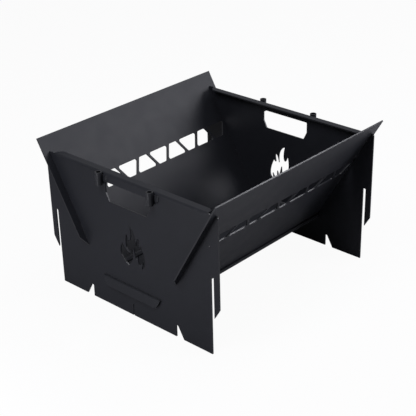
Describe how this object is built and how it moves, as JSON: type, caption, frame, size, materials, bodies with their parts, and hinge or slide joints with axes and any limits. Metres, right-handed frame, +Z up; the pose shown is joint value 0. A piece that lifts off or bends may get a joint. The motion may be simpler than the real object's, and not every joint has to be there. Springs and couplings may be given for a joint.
{
  "type": "folding fire pit",
  "caption": "Knock-down steel fire pit: two standing end panels, two sloping vented side panels that lift out of slanted slots, a hooked floor tray and welded grate sockets.",
  "frame": {"origin": "on the ground under the middle of the fire pit", "axes": "+Z up, +X along the side panels towards the rear end panel, +Y towards the left side panel"},
  "size_m": [0.462, 0.4348, 0.2935],
  "materials": {
    "panel_coat": "matt black powder coat on sheet steel",
    "tray_coat": "matt black powder coat on sheet steel",
    "socket_coat": "matt black powder coat on rolled strip"
  },
  "bodies": {
    "stand": {"front_panel": "panel_coat", "rear_panel": "panel_coat", "fire_tray": "tray_coat", "front_left_socket": "socket_coat", "front_right_socket": "socket_coat", "rear_left_socket": "socket_coat", "rear_right_socket": "socket_coat"},
    "left_side": {"left_side_panel": "panel_coat"},
    "right_side": {"right_side_panel": "panel_coat"}
  },
  "joints": [
    {"name": "left_side_lift", "type": "slide", "parent": "stand", "child": "left_side", "axis": [0, 0.5, 0.866], "range_m": [0, 0.25]},
    {"name": "right_side_lift", "type": "slide", "parent": "stand", "child": "right_side", "axis": [0, -0.5, 0.866], "range_m": [0, 0.25]}
  ]
}
